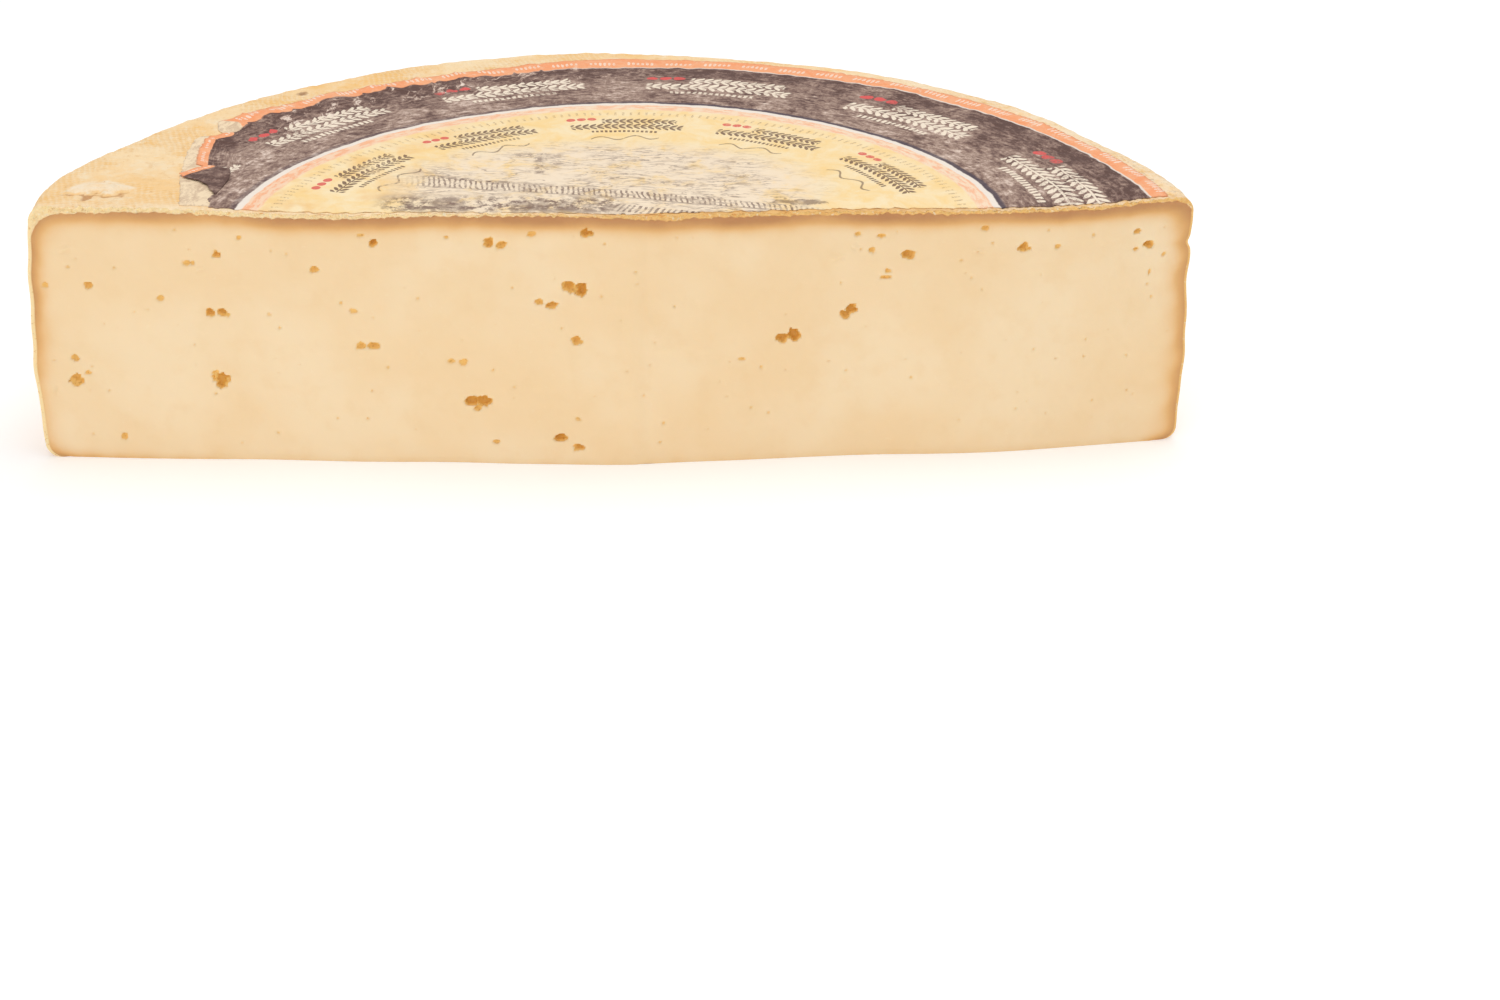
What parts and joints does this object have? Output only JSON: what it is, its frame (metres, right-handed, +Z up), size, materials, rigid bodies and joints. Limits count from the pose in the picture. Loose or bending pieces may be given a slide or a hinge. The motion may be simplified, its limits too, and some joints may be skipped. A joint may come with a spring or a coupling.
{
  "type": "half cheese wheel",
  "caption": "Half wheel of washed-rind mountain cheese with small eyes in its cut face and a torn round paper label on top.",
  "frame": {"origin": "middle of the half wheel's outer box, on the plane of its flat base", "axes": "+X along the cut face, to the right as one faces it; +Y from the cut face towards the round back; +Z up"},
  "size_m": [0.3686, 0.1772, 0.0852],
  "materials": {
    "cheese": "smooth cream-yellow paste with a soft sheen, and a dull yellow to ochre rind with a cloth print",
    "label_paper": "printed matt paper, worn and wrinkled: charcoal band, orange rings and a yellow centre"
  },
  "bodies": {
    "root": {"cheese": "cheese", "paper_label": "label_paper"}
  },
  "joints": []
}
